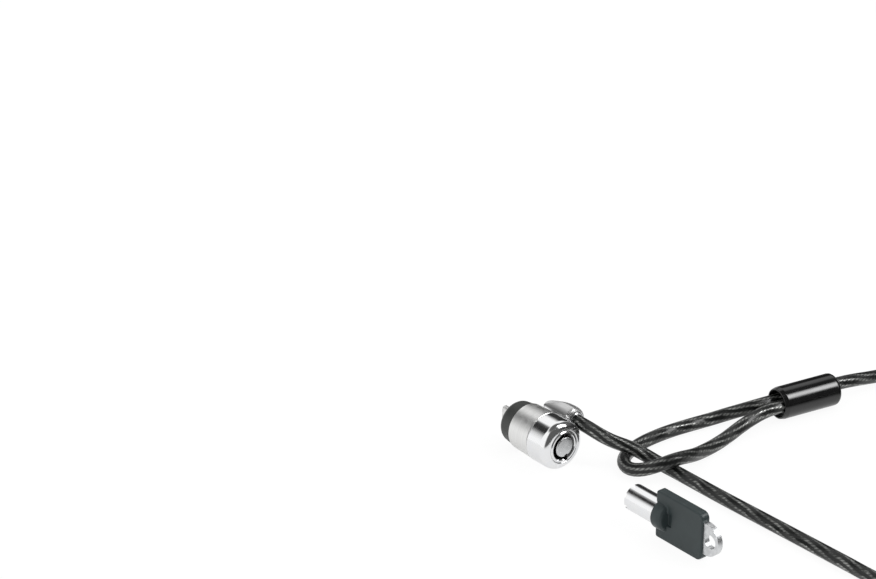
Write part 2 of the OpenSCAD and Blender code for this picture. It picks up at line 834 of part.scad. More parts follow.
module key_grip() {
    edge = 0.3;
    back_len = 1.2;
    pocket_len = 1.8;
    pocket_h = 4.8;
    collar_r = grip_collar_d / 2;
    collar_end_y = tube_end_y - back_len;
    collar = [
        [0, collar_end_y], [collar_r - back_len, collar_end_y], [collar_r, tube_end_y],
        [collar_r, grip_front_y - edge], [collar_r - edge, grip_front_y], [0, grip_front_y]
    ];
    color("darkslategray")
        at_key()
            difference() {
                union() {
                    plate_yz(grip_t) {
                        rounded_box(plate_end_y, plate_front_y - grip_round, grip_h, grip_round);
                        rounded_box(plate_front_y - grip_len / 2, plate_front_y, grip_h, grip_front_round);
                    }
                    turned()
                        polygon(collar);
                }
                rod(key_tube_d + 2 * fit, tube_end_y - fit, plate_front_y + 1);
                plate_yz(bow_t + 2 * fit)
                    translate([plate_end_y - 1, -tang_h / 2 - fit])
                        square([tube_end_y - plate_end_y + 1.5, tang_h + 2 * fit]);
                for (side = [-1, 1])
                    translate([side * grip_t / 2, collar_end_y - pocket_len / 2, 0])
                        cube([2 * grip_pocket, pocket_len, pocket_h], center = true);
            }
}

// A rounded rectangle from one y to another, centred on the second axis
module rounded_box(from, to, h, r) {
    translate([from + r, -h / 2])
        square([to - from - 2 * r, h]);
    translate([from, -h / 2 + r])
        square([to - from, h - 2 * r]);
    for (y = [from + r, to - r], side = [-1, 1])
        translate([y, side * (h / 2 - r)])
            circle(r = r);
}

module key_bow() {
    color("silver")
        at_key()
            plate_yz(bow_t)
                difference() {
                    union() {
                        translate([bow_y - 1, -tang_h / 2])
                            square([tube_end_y - bow_y + 1 + key_tube_held - 1, tang_h]);
                        intersection() {
                            translate([bow_end_y + bow_h / 2, 0])
                                circle(d = bow_h);
                            translate([bow_end_y - 1, -bow_h])
                                square([bow_y - bow_end_y + 1, 2 * bow_h]);
                        }
                    }
                    translate([ring_hole_y, 0])
                        circle(d = ring_hole_d);
                }
}

echo(coil_self_gap = coil_self_gap);

head_housing();
ear_bush();
grip_collar();
nose_bumper();
front_plate();
locating_pins();
lock_sleeve();
driver_block();
block_pin();
driver_pins();
pin_springs();
spindle();
rotor();
t_bar();
key_pin(1);  // key_pin_1
key_pin(2);  // key_pin_2
key_pin(3);  // key_pin_3
key_pin(4);  // key_pin_4
key_pin(5);  // key_pin_5
key_pin(6);  // key_pin_6
key_pin(7);  // key_pin_7
cable_ferrule();
cable_lead();
cable_coil();
cable_return();
cable_loop();
loop_sleeve();
crimp_ferrule();
coil_tie();
key_tube();
key_grip();
key_bow();
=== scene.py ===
import math

import bpy
import numpy as np
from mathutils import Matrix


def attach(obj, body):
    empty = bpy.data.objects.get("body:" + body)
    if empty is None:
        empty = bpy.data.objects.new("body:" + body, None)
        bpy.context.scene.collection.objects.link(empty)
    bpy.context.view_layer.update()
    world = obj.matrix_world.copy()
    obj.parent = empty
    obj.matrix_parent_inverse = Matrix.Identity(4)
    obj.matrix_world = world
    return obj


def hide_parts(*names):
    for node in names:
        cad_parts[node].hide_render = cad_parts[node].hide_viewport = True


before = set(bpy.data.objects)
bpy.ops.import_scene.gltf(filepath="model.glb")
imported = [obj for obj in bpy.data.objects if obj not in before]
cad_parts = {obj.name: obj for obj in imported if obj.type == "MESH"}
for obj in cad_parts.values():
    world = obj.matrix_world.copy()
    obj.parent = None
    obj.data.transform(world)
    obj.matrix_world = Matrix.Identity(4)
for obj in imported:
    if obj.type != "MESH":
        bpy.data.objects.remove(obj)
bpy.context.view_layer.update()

MM = 0.001

# Sizes and places of the CAD model, in mm. Y runs along the lock's barrel, from its rear to its nose.
FLOOR_Z = -9.1
CABLE_R = 2.4
BARREL_R = 9.1
REAR_ROUND = 2.8
SPIGOT_R = 6.95
CORE_R = 6.2
REAR_Y = -26.5
COLLAR_Y = -17.0
BULKHEAD_Y = -7.3
NOSE_Y = -6.5
PLATE_Y = -3.9
CORE_Y = -1.5
LUG_X = 11.6669
LUG_Z = 3.5669
LUG_ANGLE = math.radians(17)
SLEEVE = (84.8, -45.8, -3.1)
SLEEVE_YAW = math.radians(-10)
SLEEVE_LEN = 25.0
SLEEVE_R = 6.0
KEY = (-4.3, 0.0, -0.3)
NOTCH_ANGLE = math.radians(-80)

# The camera's place in metres, its lens in mm, and how far it looks down and to the right, in radians
CAMERA_PLACE = (-0.584616, -0.682658, 0.477159)
CAMERA_LENS = 117.95
CAMERA_DOWN = 0.44312
CAMERA_RIGHT = 0.67795


# ---------------------------------------------------------------- camera

def make_camera():
    data = bpy.data.cameras.new("camera")
    data.sensor_width = 36
    data.lens = CAMERA_LENS
    camera = bpy.data.objects.new("camera", data)
    camera.location = CAMERA_PLACE
    camera.rotation_euler = (math.pi / 2 - CAMERA_DOWN, 0, -CAMERA_RIGHT)
    bpy.context.collection.objects.link(camera)
    bpy.context.scene.camera = camera


# ---------------------------------------------------------------- meshes

def new_mesh(name, points, faces, uvs=None):
    """A smooth-shaded object from points in mm. uvs holds one pair for each face corner."""
    mesh = bpy.data.meshes.new(name)
    mesh.from_pydata((np.asarray(points, float) * MM).tolist(), [], [list(map(int, f)) for f in faces])
    mesh.update()
    if uvs is not None:
        layer = mesh.uv_layers.new(name="UVMap")
        layer.data.foreach_set("uv", np.asarray(uvs, np.float32).ravel())
    mesh.shade_smooth()
    obj = bpy.data.objects.new(name, mesh)
    bpy.context.collection.objects.link(obj)
    return obj


def smoothstep(t):
    """From 0 to 1 with t, and level at both ends."""
    t = np.clip(t, 0, 1)
    return t * t * (3 - 2 * t)


def resample(path, step):
    """The path with its points about a step apart."""
    path = np.asarray(path, float)
    along = np.concatenate([[0], np.cumsum(np.linalg.norm(np.diff(path, axis=0), axis=1))])
    count = max(2, int(round(along[-1] / step)) + 1)
    at = np.linspace(0, along[-1], count)
    return np.stack([np.interp(at, along, path[:, k]) for k in range(path.shape[1])], axis=1)


def through(points, step=0.5):
    """A centripetal Catmull-Rom curve through the points, sampled about every step."""
    p = np.asarray(points, float)
    p = np.vstack([2 * p[0] - p[1], p, 2 * p[-1] - p[-2]])
    out = []
    for i in range(1, len(p) - 2):
        a, b, c, d = p[i - 1:i + 3]
        t = np.cumsum([0] + [max(np.linalg.norm(v - u), 1e-6) ** 0.5 for u, v in ((a, b), (b, c), (c, d))])
        count = max(2, int(np.linalg.norm(c - b) / step))
        s = np.linspace(t[1], t[2], count, endpoint=False)[:, None]
        ab = (t[1] - s) / (t[1] - t[0]) * a + (s - t[0]) / (t[1] - t[0]) * b
        bc = (t[2] - s) / (t[2] - t[1]) * b + (s - t[1]) / (t[2] - t[1]) * c
        cd = (t[3] - s) / (t[3] - t[2]) * c + (s - t[2]) / (t[3] - t[2]) * d
        left = (t[2] - s) / (t[2] - t[0]) * ab + (s - t[0]) / (t[2] - t[0]) * bc
        right = (t[3] - s) / (t[3] - t[1]) * bc + (s - t[1]) / (t[3] - t[1]) * cd
        out.append((t[2] - s) / (t[2] - t[1]) * left + (s - t[1]) / (t[2] - t[1]) * right)
    return np.vstack(out + [p[-2][None]])


def smoothed(path, width):
    """The path with its bends evened out over about width points, and its ends kept."""
    reach = int(3 * width)
    weights = np.exp(-0.5 * (np.arange(-reach, reach + 1) / width) ** 2)
    weights /= weights.sum()
    before = 2 * path[0] - path[reach:0:-1]
    after = 2 * path[-1] - path[-2:-reach - 2:-1]
    long = np.vstack([before, path, after])
    return np.stack([np.convolve(long[:, k], weights, "valid") for k in range(3)], axis=1)


def carried_frames(path):
    """Directions along and across a path, turned as little as possible from ring to ring."""
    along = np.gradient(path, axis=0)
    along /= np.linalg.norm(along, axis=1)[:, None]
    side = np.cross(along[0], (0, 0, 1))
    side /= np.linalg.norm(side)
    sides = [side]
    for k in range(1, len(path)):
        side = side - along[k] * (side @ along[k])
        side /= np.linalg.norm(side)
        sides.append(side)
    sides = np.array(sides)
    return along, sides, np.cross(along, sides)


def tube(name, path, radius, sides):
    """A capped tube. Its UV map holds the length along it in metres, and the share of a turn round it."""
    _, across, high = carried_frames(path)
    angle = 2 * math.pi * np.arange(sides) / sides
    ring = np.cos(angle)[None, :, None] * across[:, None] + np.sin(angle)[None, :, None] * high[:, None]
    points = (path[:, None] + radius * ring).reshape(-1, 3)
    run = np.concatenate([[0], np.cumsum(np.linalg.norm(np.diff(path, axis=0), axis=1))]) * MM
    faces, uvs = [], []
    for i in range(len(path) - 1):
        for k in range(sides):
            n = (k + 1) % sides
            faces.append([i * sides + k, i * sides + n, (i + 1) * sides + n, (i + 1) * sides + k])
            low, top = k / sides, (k + 1) / sides
            uvs += [(run[i], low), (run[i], top), (run[i + 1], top), (run[i + 1], low)]
    last = (len(path) - 1) * sides
    faces += [list(range(sides))[::-1], [last + k for k in range(sides)]]
    uvs += [(0, 0)] * (2 * sides)
    return new_mesh(name, points, faces, uvs)


# ---------------------------------------------------------------- cable

LEAD_ROUTE = [
    [12, -29.4, 12.1], [13.8, -32.4, 10.6], [16.3, -35.1, 8.9], [19, -37.7, 7.9], [21.7, -40.4, 6.3],
    [24, -43.4, 4.4], [25.7, -46.9, 2.9], [26.4, -51.4, 2.4], [26.5, -58.9, 2.4], [26.5, -68.9, 2.4],
    [26.6, -80.9, 2.4], [26.9, -93.9, 2.4], [27.2, -106.9, 2.4], [27.5, -120.9, 2.4], [27.8, -134.9, 2.4],
    [28, -148.9, 2.4], [29, -157.2, 2.4], [32.3, -164.9, 2.4], [37.4, -171.5, 2.5], [44, -176.6, 2.7],
    [51.7, -179.9, 2.9], [60, -181.1, 3.1], [71, -181.1, 3.2], [84, -181.1, 3.2],
]
RETURN_ROUTE = [
    [146.6, -128.9, 7.6], [148.5, -116.9, 5.8], [151.8, -104.9, 3.6], [155, -93.9, 2.6], [157.2, -83.9, 2.4],
    [158, -74.9, 2.4], [157.2, -68.4, 2.4], [154.8, -62.5, 2.4], [151, -57.5, 2.4], [146, -53.7, 2.5],
    [140, -51.3, 2.8], [133.5, -50.3, 3.5], [127, -49.9, 4.5], [121, -49.5, 5.5],
]
LOOP_ROUTE = [
    [75, -40.2, 5], [69, -37.1, 3.6], [62, -34.7, 2.6], [53, -32.9, 2.4], [44, -31.9, 2.4],
    [35, -31.9, 2.4], [28, -32.9, 2.4], [21.1, -35.3, 2.4], [16.6, -39, 2.4], [14.8, -43.9, 2.7],
    [15.8, -48.8, 4], [19.6, -53, 6.2], [25.6, -55.4, 7.7], [31.7, -54.8, 6.4], [37.5, -52.8, 4.3],
    [44, -50.8, 2.8], [51, -49.6, 2.4], [58, -48.3, 2.6], [65, -47.1, 3.5], [71.5, -46.9, 4.8],
]
COIL_MIDDLE = (109, -143.9, -5.9)
COIL_TURNS = 6.25
COIL_GAP = 0.6
COIL_PITCH = 2 * CABLE_R + COIL_GAP
COIL_MEAN_R = 28.8
POINTS_PER_TURN = 24
STRAND_OFFSET = 2.45
CABLE_SIDES = 24
CABLE_STEP = 1.8


def sleeve_point(x, y, z=0.0):
    """A point in the loop sleeve's own directions."""
    c, s = math.cos(SLEEVE_YAW), math.sin(SLEEVE_YAW)
    return [SLEEVE[0] + x * c - y * s, SLEEVE[1] + x * s + y * c, SLEEVE[2] + z]


def coil_points():
    """The stored coil's middle line, which winds in on the surface and out again on top."""
    layer_turns = COIL_TURNS / 2
    out_r = COIL_MEAN_R + COIL_PITCH * layer_turns / 2
    in_r = out_r - COIL_PITCH * layer_turns
    points = []
    for turn in np.arange(0, COIL_TURNS + 1e-6, 1 / POINTS_PER_TURN):
        if turn < layer_turns:
            r = out_r - COIL_PITCH * turn
        else:
            r = in_r + COIL_PITCH * (turn - layer_turns)
        angle = 2 * math.pi * turn - math.pi / 2
        rise = COIL_PITCH * smoothstep(2 * (turn - layer_turns) + 0.5)
        x, y, z = COIL_MIDDLE
        points.append([x + r * math.cos(angle), y + r * math.sin(angle), z + rise])
    return points


def cable_path():
    """The cable's middle line, from the ferrule in the lug round to its tail in the crimp, in mm.

    Its routes along the floor are joined by straight runs out of the lug, at the coil and in the sleeve.
    """
    on_floor = lambda route: [[x, y, FLOOR_Z + z] for x, y, z in route]
    coil = coil_points()
    start, end = coil[0], coil[-1]
    points = [[LUG_X, y, LUG_Z] for y in (-17.1, -20.5, -23.5, -27.5)]
    points += on_floor(LEAD_ROUTE) + [[start[0] - x, start[1], start[2]] for x in (12, 4.8)] + coil
    points += [[end[0], end[1] + y, end[2]] for y in (4.8, 10.56)] + on_floor(RETURN_ROUTE)
    points += [sleeve_point(x, STRAND_OFFSET) for x in (30.76, 25, 12.5, 0, -5.28)]
    points += on_floor(LOOP_ROUTE) + [sleeve_point(x, -STRAND_OFFSET) for x in (-5.28, 0, 19.5)]
    path = smoothed(resample(through(points), 0.5), 5)
    path[:, 2] = np.maximum(path[:, 2], FLOOR_Z + CABLE_R)
    return resample(path, CABLE_STEP)


def make_cable():
    path = cable_path()
    cable = tube("cable", path, CABLE_R, CABLE_SIDES)
    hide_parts("cable_lead", "cable_coil", "cable_return", "cable_loop")
    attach(cable, "cable")
    return cable, path


# ---------------------------------------------------------------- smooth bodies from distance fields

EDGE = 0.2
FINE_EDGE = 0.1
SKIN_STEP = 0.22
FINE_SKIN_STEP = 0.2


def length2(a, b):
    return np.sqrt(a * a + b * b)


def join(a, b, k):
    """Union of two fields with a fillet of about k."""
    h = np.maximum(k - np.abs(a - b), 0) / k
    return np.minimum(a, b) - h * h * k * 0.25


def cut(a, b, k=0.25):
    """a without b, with its new edges eased by about k."""
    return -join(-a, b, k)


def both(a, b, k=0.25):
    """What a and b share, with its edges eased by about k."""
    return -join(-a, -b, k)


def outline_distance(u, v, points):
    """Signed distance in a plane to a closed outline."""
    pts = np.asarray(points, np.float32)
    best = np.full(u.shape, 1e9, np.float32)
    inside = np.zeros(u.shape, bool)
    for (ax, ay), (bx, by) in zip(pts, np.roll(pts, -1, axis=0)):
        ex, ey = bx - ax, by - ay
        wx, wy = u - ax, v - ay
        t = np.clip((wx * ex + wy * ey) / (ex * ex + ey * ey + 1e-12), 0, 1)
        best = np.minimum(best, (wx - ex * t) ** 2 + (wy - ey * t) ** 2)
        crosses = (ay > v) != (by > v)
        if abs(ey) > 1e-9:
            inside ^= crosses & (u < ax + ex * (v - ay) / ey)
    return np.where(inside, -np.sqrt(best), np.sqrt(best)).astype(np.float32)


def between(value, low, high):
    """Below zero where value lies between low and high."""
    return np.abs(value - (low + high) / 2) - (high - low) / 2


def rounded_rod(r, y, radius, start, end, ease):
    """A rod along Y with eased ends, from the distance r to its axis."""
    a = r - (radius - ease)
    b = np.abs(y - (start + end) / 2) - ((end - start) / 2 - ease)
    return length2(np.maximum(a, 0), np.maximum(b, 0)) + np.minimum(np.maximum(a, b), 0) - ease


def skin(field, low, high, step):
    """Points and quads on the zero surface of a field, by surface nets and two Newton steps."""
    axes = [np.arange(a - step, b + 2 * step, step, dtype=np.float32) for a, b in zip(low, high)]
    grid = np.meshgrid(*axes, indexing="ij")
    values = field(*grid).astype(np.float32)
    inside = values < 0
    shape = np.array(values.shape) - 1
    total = np.zeros(tuple(shape) + (3,), np.float32)
    count = np.zeros(tuple(shape), np.float32)
    corner = [(i, j, k) for i in (0, 1) for j in (0, 1) for k in (0, 1)]

    def part(array, c):
        return array[c[0]:c[0] + shape[0], c[1]:c[1] + shape[1], c[2]:c[2] + shape[2]]

    for a in corner:
        for axis in range(3):
            if a[axis]:
                continue
            b = tuple(1 if n == axis else a[n] for n in range(3))
            va, vb = part(values, a), part(values, b)
            crossed = (va < 0) != (vb < 0)
            t = np.where(crossed, va / np.where(crossed, va - vb, 1), 0)
            for n in range(3):
                total[..., n] += np.where(crossed, a[n] + (t if n == axis else 0), 0)
            count += crossed
    used = count > 0
    index = np.full(tuple(shape), -1, np.int64)
    index[used] = np.arange(used.sum())
    cells = np.argwhere(used)
    origin = np.array([a[0] for a in axes])
    points = origin + step * (cells + total[used] / count[used][:, None])
    faces = []
    for axis in range(3):
        n, m = (axis + 1) % 3, (axis + 2) % 3
        here = [slice(None)] * 3
        there = [slice(None)] * 3
        here[axis], there[axis] = slice(0, -1), slice(1, None)
        change = inside[tuple(here)] != inside[tuple(there)]
        for e in np.argwhere(change):
            if e[n] == 0 or e[m] == 0 or e[n] > shape[n] - 1 or e[m] > shape[m] - 1:
                continue
            quad = []
            for dn, dm in ((-1, -1), (0, -1), (0, 0), (-1, 0)):
                c = e.copy()
                c[n] += dn
                c[m] += dm
                quad.append(index[tuple(c)])
            faces.append(quad if inside[tuple(e)] else quad[::-1])
    for _ in range(2):
        h = 0.2 * step
        value = field(*points.T)
        rises = [field(*(points + d).T) - field(*(points - d).T) for d in np.eye(3) * h]
        slope = np.stack(rises, axis=1) / (2 * h)
        size = np.maximum((slope ** 2).sum(axis=1), 0.25)
        move = slope * (value / size)[:, None]
        points = points - np.clip(move, -0.5 * step, 0.5 * step)
    return points, faces


# The lug from its mouth to its tip, as Y and the distance from its own axis
LUG_PROFILE = [
    (-19.5, 0), (-19.5, 3.3), (-19.45, 3.62), (-19.25, 3.88), (-18.8, 4.12), (-18.1, 4.32),
    (-17.3, 4.42), (-15.9, 4.46), (-14, 4.38), (-12.4, 4.16), (-10.8, 3.82), (-8.9, 3.3),
    (-7.3, 2.84), (-5.9, 2.42), (-4.8, 1.96), (-3.9, 1.36), (-3.3, 0.7), (-3.1, 0),
]
# The web between barrel and lug, as Y and the distance from the barrel's axis towards the lug
WEB_SIDE = [(-18, -1), (-18, 12.2), (-13, 12.2), (-6.9, 9.3), (-6.9, 9.15), (-7.7, 9.0), (-7.7, -1)]
WEB_HALF_WIDTH = 3.8
WEB_FILLET = 3.5
LUG_FILLET = 2.0
LUG_FILLET_END_Y = -17.2

CYLINDER_BORE_R = 6.05
SHAFT_BORE_R = 2.0
PLATE_BORE_R = 5.3
STOP_BORE_R = 3.4
STOP_HALF_ANGLE = math.radians(54)
STOP_BORE_Y = (-8.3, -3.8)
LUG_BORE_R = 3.1
LUG_BORE_END_Y = -11.3
BLOCK_PIN_Y = -11.3
BLOCK_PIN_BORE_R = 0.7
BLOCK_PIN_START = 5.0


def ear_field(x, y, z):
    """The lug and the web that joins it to the barrel."""
    lug = outline_distance(y, length2(x - LUG_X, z - LUG_Z), LUG_PROFILE)
    c, s = math.cos(LUG_ANGLE), math.sin(LUG_ANGLE)
    out, over = x * c + z * s, z * c - x * s
    web = both(outline_distance(y, out, WEB_SIDE), np.abs(over) - WEB_HALF_WIDTH, 0.6)
    return join(lug, web, WEB_FILLET)


def solid_housing_field(x, y, z):
    """The barrel, spigot, nose core and lug without their bores. The lug's fillet ends behind the collar."""
    r = length2(x, z)
    barrel = both(rounded_rod(r, y, BARREL_R, REAR_Y, COLLAR_Y + 6, REAR_ROUND), y - COLLAR_Y, EDGE)
    barrel = join(barrel, rounded_rod(r, y, SPIGOT_R, COLLAR_Y - 3, NOSE_Y, EDGE), FINE_EDGE)
    barrel = join(barrel, rounded_rod(r, y, CORE_R, NOSE_Y - 5.5, CORE_Y, EDGE), FINE_EDGE)
    ending = smoothstep((y - LUG_FILLET_END_Y) / 1.4 + 1)
    fillet = LUG_FILLET + (FINE_EDGE - LUG_FILLET) * ending
    return join(barrel, ear_field(x, y, z), fillet)


def housing_field(x, y, z):
    """The housing with the bores for the cylinder, shaft, front plate, stop, ferrule and block pin."""
    r = length2(x, z)
    body = solid_housing_field(x, y, z)
    body = cut(body, rounded_rod(r, y, CYLINDER_BORE_R, REAR_Y - 3, BULKHEAD_Y, 0.1))
    body = cut(body, rounded_rod(r, y, SHAFT_BORE_R, BULKHEAD_Y - 1, 0, 0.05), FINE_EDGE)
    body = cut(body, rounded_rod(r, y, PLATE_BORE_R, PLATE_Y, 0, 0.05), FINE_EDGE)
    sector = -math.sin(STOP_HALF_ANGLE) * x + math.cos(STOP_HALF_ANGLE) * np.abs(z)
    stop = np.maximum(np.maximum(sector, r - STOP_BORE_R), between(y, *STOP_BORE_Y))
    body = cut(body, stop, FINE_EDGE)
    lug_r = length2(x - LUG_X, z - LUG_Z)
    body = cut(body, rounded_rod(lug_r, y, LUG_BORE_R, -22, LUG_BORE_END_Y, 0.1))
    c, s = math.cos(NOTCH_ANGLE), math.sin(NOTCH_ANGLE)
    pin = length2(y - BLOCK_PIN_Y, z * c - x * s) - BLOCK_PIN_BORE_R
    return cut(body, np.maximum(pin, BLOCK_PIN_START - (x * c + z * s)), FINE_EDGE)


def make_housing():
    points, faces = skin(housing_field, (-9.2, -26.6, -9.2), (16.2, -1.4, 9.2), SKIN_STEP)
    housing = new_mesh("housing", points, faces)
    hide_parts("head_housing")
    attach(housing, "head")
    return housing


# The key's grip, as Y and the distance from the key's own axis
GRIP_COLLAR = [
    (-85.6, 0), (-85.6, 4.0), (-85.4, 4.55), (-84.9, 5.05), (-84.1, 5.35), (-83.2, 5.4),
    (-81.3, 5.4), (-81.0, 5.3), (-80.9, 5.1), (-80.9, 0),
]
GRIP_Y = (-102.0, -79.9)
GRIP_HALF_HEIGHT = 8.8
GRIP_HALF_THICKNESS = 1.8
GRIP_ROUND = 2.4
GRIP_FRONT_ROUND = 0.9
POCKET_Y = -86.4
POCKET_HALF_LENGTH = 0.9
POCKET_HALF_HEIGHT = 2.4
POCKET_DEPTH = 0.5
TUBE_END_Y = -84.3
TUBE_BORE_R = 4.8
TANG_HALF_THICKNESS = 1.05
TANG_HALF_HEIGHT = 3.55


def rounded_outline(x0, x1, y0, y1, r, far_r=None):
    """A rounded rectangle, whose corners at x1 can have a radius of their own."""
    points = []
    far = r if far_r is None else far_r
    for x, y, radius, start in ((x1, y1, far, 0), (x0, y1, r, 90), (x0, y0, r, 180), (x1, y0, far, 270)):
        cx = x - radius if x == x1 else x + radius
        cy = y - radius if y == y1 else y + radius
        for a in np.radians(np.linspace(start, start + 90, 9)):
            points.append((cx + radius * math.cos(a), cy + radius * math.sin(a)))
    return points


def grip_field(x, y, z):
    """The key's plastic grip, about the key's own axis."""
    r = length2(x, z)
    outline = rounded_outline(*GRIP_Y, -GRIP_HALF_HEIGHT, GRIP_HALF_HEIGHT, GRIP_ROUND, GRIP_FRONT_ROUND)
    plate = both(outline_distance(y, z, outline), np.abs(x) - GRIP_HALF_THICKNESS, 0.7)
    body = join(plate, outline_distance(y, r, GRIP_COLLAR), 0.5)
    tube = np.maximum(r - TUBE_BORE_R, TUBE_END_Y - 0.05 - y)
    body = cut(body, tube, 0.15)
    tang = np.maximum(np.abs(x) - TANG_HALF_THICKNESS, np.abs(z) - TANG_HALF_HEIGHT)
    body = cut(body, np.maximum(tang, y - TUBE_END_Y - 0.5), 0.15)
    pocket = np.maximum(np.abs(y - POCKET_Y) - POCKET_HALF_LENGTH, np.abs(z) - POCKET_HALF_HEIGHT)
    pocket = np.maximum(pocket, GRIP_HALF_THICKNESS - POCKET_DEPTH - np.abs(x))
    return cut(body, pocket, 0.3)


def make_grip():
    points, faces = skin(grip_field, (-5.5, -102.1, -8.9), (5.5, -79.8, 8.9), SKIN_STEP)
    grip = new_mesh("grip", points + np.array(KEY), faces)
    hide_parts("key_grip")
    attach(grip, "key")
    return grip


# The loop sleeve from its mouth to its far end, as the distances along and from its own axis
SLEEVE_PROFILE = [
    (0, 0), (0, 5.5), (0.12, 5.62), (1.6, SLEEVE_R), (SLEEVE_LEN - 1.6, SLEEVE_R),
    (SLEEVE_LEN - 0.99, 5.88), (SLEEVE_LEN - 0.47, 5.53), (SLEEVE_LEN - 0.12, 5.01),
    (SLEEVE_LEN, 4.4), (SLEEVE_LEN, 0),
]
SLEEVE_MOUTH_R = 5.1
SLEEVE_BORE_R = 5.5
SLEEVE_BORE_X = (1.0, 23.4)
SLEEVE_EXIT_R = 2.45


def sleeve_field(x, y, z):
    """The loop sleeve, with its mouth at x = 0 and the cable's way out at its far end."""
    r = length2(y, z)
    body = outline_distance(x, r, SLEEVE_PROFILE)
    body = cut(body, np.maximum(r - SLEEVE_MOUTH_R, x - 2), FINE_EDGE)
    body = cut(body, np.maximum(r - SLEEVE_BORE_R, between(x, *SLEEVE_BORE_X)), 0.15)
    return cut(body, np.maximum(length2(y - STRAND_OFFSET, z) - SLEEVE_EXIT_R, 1 - x), EDGE)


def make_sleeve():
    points, faces = skin(sleeve_field, (-0.1, -6.1, -6.1), (25.1, 6.1, 6.1), FINE_SKIN_STEP)
    points = np.array([sleeve_point(*p) for p in points])
    sleeve = new_mesh("crimp_sleeve", points, faces)
    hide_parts("loop_sleeve")
    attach(sleeve, "cable")
    return sleeve


# ---------------------------------------------------------------- strap

STRAP_THICK = 0.75
STRAP_WIDE = 9.0
STRAP_UNDER = 0.8
STRAP_SLACK = 0.35
STRAP_CORNER_R = 2.5
STRAP_TURNS = 1.36
STRAP_STEP = 0.6
# Where the strap starts round its outline, and how it climbs over its own first turn, in points and mm
STRAP_START = 10
STRAP_CLIMB = 6
STRAP_LIFT = STRAP_THICK + 0.08


def strap_path():
    """The strap's middle line round the coil, as Y and Z, with the directions out of the strap."""
    coil = np.array(coil_points())
    near = coil[(np.abs(coil[:, 0] - COIL_MIDDLE[0]) < STRAP_WIDE) & (coil[:, 1] > COIL_MIDDLE[1])]
    y0, y1 = near[:, 1].min() - CABLE_R - STRAP_SLACK, near[:, 1].max() + CABLE_R + STRAP_SLACK
    z0 = FLOOR_Z + STRAP_UNDER
    z1 = z0 + 4 * CABLE_R + COIL_GAP + STRAP_SLACK
    loop = np.array(rounded_outline(y0, y1, z0, z1, STRAP_CORNER_R))[::-1]
    loop = np.roll(loop, STRAP_START, axis=0)
    path = resample(np.vstack([loop, loop, loop[:1]]), STRAP_STEP)
    once = len(path) // 2
    path = path[:int(once * STRAP_TURNS)]
    overlap = np.clip((np.arange(len(path)) - once + STRAP_CLIMB) / STRAP_CLIMB, 0, 1)
    lift = STRAP_THICK / 2 + STRAP_LIFT * overlap
    ahead = np.gradient(path, axis=0)
    normal = np.stack([-ahead[:, 1], ahead[:, 0]], axis=1) / np.linalg.norm(ahead, axis=1)[:, None]
    return path + normal * lift[:, None], normal


def make_strap():
    """A woven strap wrapped one and a third times round the coil."""
    path, normal = strap_path()
    half, edge = STRAP_THICK / 2, STRAP_WIDE / 2
    flat = edge - 0.45 * STRAP_THICK
    section = [
        (-flat, -half), (0, -half), (flat, -half), (edge, 0),
        (flat, half), (0, half), (-flat, half), (-edge, 0),
    ]
    points, faces, uvs = [], [], []
    n = len(section)
    for (y, z), (ny, nz) in zip(path, normal):
        for across, up in section:
            points.append((COIL_MIDDLE[0] + across, y + ny * up, z + nz * up))
    for i in range(len(path) - 1):
        for k in range(n):
            a, b = i * n + k, i * n + (k + 1) % n
            faces.append([a, b, b + n, a + n])
            u0, u1 = section[k][0] * MM, section[(k + 1) % n][0] * MM
            v0, v1 = i * STRAP_STEP * MM, (i + 1) * STRAP_STEP * MM
            uvs += [(u0, v0), (u1, v0), (u1, v1), (u0, v1)]
    last = (len(path) - 1) * n
    faces += [list(range(n))[::-1], [last + k for k in range(n)]]
    uvs += [(0, 0)] * (2 * n)
    strap = new_mesh("strap", points, faces, uvs)
    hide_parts("coil_tie")
    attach(strap, "cable")
    return strap


# ---------------------------------------------------------------- materials

